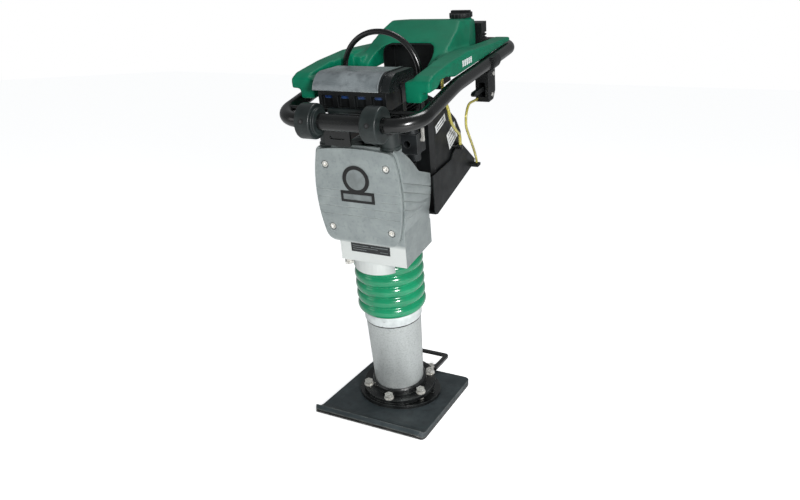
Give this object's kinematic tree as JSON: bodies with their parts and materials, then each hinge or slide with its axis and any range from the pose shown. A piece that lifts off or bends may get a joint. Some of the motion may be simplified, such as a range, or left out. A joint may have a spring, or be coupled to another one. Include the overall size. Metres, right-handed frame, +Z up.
{
  "type": "jumping jack rammer",
  "caption": "Upright petrol trench rammer with a curled steel shoe, green bellows leg, cast crankcase, looped tube handle, moulded tank and front transport roller.",
  "frame": {"origin": "centre of the shoe's flat sole, on the ground", "axes": "+Z up, -Y towards the curled lip and the transport roller, +Y towards the operator, +X to the right seen from the front"},
  "size_m": [0.347, 0.6696, 0.9616],
  "materials": {
    "worn_steel_shoe": "dark worn paint with bare edges",
    "black_flange": "satin black paint",
    "zinc_bolts": "zinc plated",
    "grey_leg": "light grey speckled paint",
    "band_steel": "rolled band",
    "spring_steel": "oiled spring wire",
    "bronze": "sintered bronze",
    "ground_steel": "ground",
    "cast_aluminium": "blasted casting",
    "gasket_black": "matt",
    "badge_plastic": "blank badge",
    "plate_black": "blank plate",
    "green_plastic": "moulded green",
    "green_bellows": "glossy flexible green",
    "engine_alloy": "cast, darkened",
    "gear_steel": "cut and hardened",
    "black_plastic": "grained",
    "black_steel": "semi gloss black",
    "black_rubber": "satin",
    "ceramic": "white ceramic and steel",
    "muffler_steel": "heat dulled",
    "lid_grey": "dark lid with a sheen",
    "filter_paper": "pleated paper",
    "lever_red": "red",
    "yellow_tube": "translucent yellow",
    "sole_steel": "worn steel"
  },
  "bodies": {
    "foot": {"shoe_sole": "sole_steel", "shoe_core": "worn_steel_shoe", "foot_flange": "black_flange", "foot_bolts": "zinc_bolts", "foot_handle": "black_steel", "leg_tube": "grey_leg", "bellows_clamp_lower": "band_steel", "lower_spring": "spring_steel", "upper_spring": "spring_steel", "spring_retainer": "ground_steel", "guide_bushes": "bronze"},
    "plunger": {"plunger_rod": "ground_steel", "spring_piston": "ground_steel", "piston_nut": "zinc_bolts", "wrist_pin": "ground_steel"},
    "rod": {"connecting_rod": "gear_steel"},
    "machine": {"crankcase_housing": "cast_aluminium", "crankcase_cover": "cast_aluminium", "cover_gasket": "gasket_black", "cover_bolts": "zinc_bolts", "emblem_badge": "badge_plastic", "nameplate": "plate_black", "drain_plug": "zinc_bolts", "guide_cylinder": "ground_steel", "bellows": "green_bellows", "bellows_clamp_upper": "band_steel", "engine_block": "engine_alloy", "recoil_housing": "black_plastic", "spark_plug": "ceramic", "muffler": "muffler_steel", "engine_shroud": "black_plastic", "belly_guard": "black_plastic", "fuel_inlet": "black_steel", "carburettor": "engine_alloy", "cleaner_base": "black_plastic", "filter_element": "filter_paper", "cleaner_cover": "lid_grey", "cleaner_clips": "black_steel", "lifting_bail": "black_steel", "shock_mounts": "black_rubber"},
    "crank": {"crank_gear": "gear_steel"},
    "clutch": {"clutch_drum": "gear_steel"},
    "engine_shaft": {"engine_rotor": "gear_steel"},
    "reel": {"starter_pulley": "black_plastic"},
    "grip": {"starter_grip": "black_rubber"},
    "handle": {"handle_frame": "black_steel", "mount_bracket": "black_steel", "fuel_tank": "green_plastic", "heat_shield": "black_plastic", "switch_box": "black_plastic", "throttle_box": "black_plastic", "throttle_cable": "yellow_tube", "fuel_hose": "yellow_tube"},
    "tank_cap": {"fuel_cap": "black_plastic"},
    "stop_key": {"stop_button": "lever_red"},
    "throttle": {"throttle_lever": "black_plastic"},
    "tap": {"fuel_tap_lever": "black_plastic"},
    "choke": {"choke_lever": "zinc_bolts"},
    "roller": {"roller_tube": "black_steel", "roller_drums": "black_rubber"}
  },
  "joints": [
    {"name": "leg_stroke", "type": "slide", "parent": "foot", "child": "machine", "axis": [0, -0.1908, 0.9816], "range_m": [-0.026, 0.026], "stiffness_N_per_m": 30000, "deforming": ["bellows"]},
    {"name": "spring_travel", "type": "slide", "parent": "foot", "child": "plunger", "axis": [0, -0.1908, 0.9816], "range_m": [-0.018, 0.018], "stiffness_N_per_m": 20000, "deforming": ["lower_spring", "upper_spring"]},
    {"name": "rod_swing", "type": "hinge", "parent": "plunger", "child": "rod", "pos_m": [0, -0.04523, 0.40247], "axis": [0, 0.9816, 0.1908], "range_deg": [-10, 10]},
    {"name": "crank_spin", "type": "hinge", "parent": "machine", "child": "crank", "pos_m": [0, -0.12874, 0.55432], "axis": [0, 0.9816, 0.1908], "continuous": true},
    {"name": "clutch_spin", "type": "hinge", "parent": "machine", "child": "clutch", "pos_m": [0, -0.11257, 0.64406], "axis": [0, 0.9816, 0.1908], "continuous": true},
    {"name": "engine_spin", "type": "hinge", "parent": "machine", "child": "engine_shaft", "pos_m": [0, 0.02486, 0.67077], "axis": [0, 0.9816, 0.1908], "continuous": true},
    {"name": "starter_pull", "type": "slide", "parent": "machine", "child": "grip", "axis": [0, 0.9816, 0.1908], "range_m": [0, 0.5], "stiffness_N_per_m": 20},
    {"name": "starter_spin", "type": "hinge", "parent": "machine", "child": "reel", "pos_m": [0, 0.11713, 0.68871], "axis": [0, 0.9816, 0.1908], "range_deg": [-10, 1250]},
    {"name": "handle_rock", "type": "hinge", "parent": "machine", "child": "handle", "pos_m": [0, -0.17934, 0.69933], "axis": [1, 0, 0], "range_deg": [-1.5, 1.5], "stiffness_Nm_per_rad": 3000, "deforming": ["shock_mounts", "throttle_cable", "fuel_hose"]},
    {"name": "roller_spin", "type": "hinge", "parent": "handle", "child": "roller", "pos_m": [0, -0.26348, 0.73391], "axis": [1, 0, 0], "continuous": true},
    {"name": "cap_turn", "type": "hinge", "parent": "handle", "child": "tank_cap", "pos_m": [0.072, 0.20383, 0.94496], "axis": [0, -0.1908, 0.9816], "continuous": true},
    {"name": "stop_press", "type": "slide", "parent": "handle", "child": "stop_key", "axis": [0, -0.9816, -0.1908], "range_m": [0, 0.003], "stiffness_N_per_m": 400},
    {"name": "throttle_turn", "type": "hinge", "parent": "handle", "child": "throttle", "pos_m": [0.144, 0.16254, 0.78005], "axis": [1, 0, 0], "range_deg": [-8, 8]},
    {"name": "fuel_tap_turn", "type": "hinge", "parent": "handle", "child": "tap", "pos_m": [0.082, 0.00606, 0.81992], "axis": [0, -0.1908, 0.9816], "range_deg": [-45, 45]},
    {"name": "choke_turn", "type": "hinge", "parent": "machine", "child": "choke", "pos_m": [0.103, -0.08704, 0.68569], "axis": [1, 0, 0], "range_deg": [-45, 45]}
  ],
  "couplings": [
    {"joint": "clutch_spin", "follows": "crank_spin", "ratio": -6.0833},
    {"joint": "starter_spin", "follows": "starter_pull", "rad_per_m": 41.667}
  ]
}
